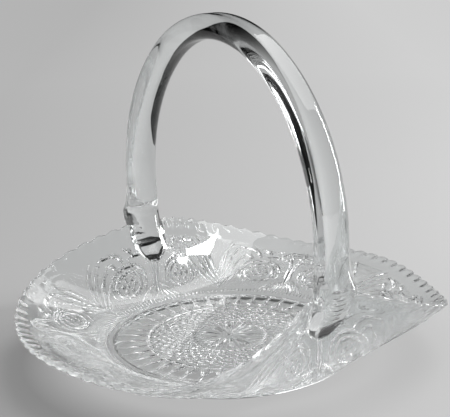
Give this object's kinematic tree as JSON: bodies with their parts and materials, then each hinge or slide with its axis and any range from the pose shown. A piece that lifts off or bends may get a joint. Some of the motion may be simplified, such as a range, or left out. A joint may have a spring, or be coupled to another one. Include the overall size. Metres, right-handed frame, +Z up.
{
  "type": "glass basket",
  "caption": "Clear pressed-glass serving dish with a scalloped rim, two folded-up sides and one tall fused loop handle.",
  "frame": {"origin": "middle of the underside, on the plane the foot ring stands on", "axes": "+Z up, +X along the dish's long way between its two low ends, the handle's loop in the plane X = 0"},
  "size_m": [0.305, 0.2624, 0.2405],
  "materials": {
    "clear_glass": "clear colourless soda-lime glass, fire polished"
  },
  "bodies": {
    "root": {"glass_basket": "clear_glass"}
  },
  "joints": []
}
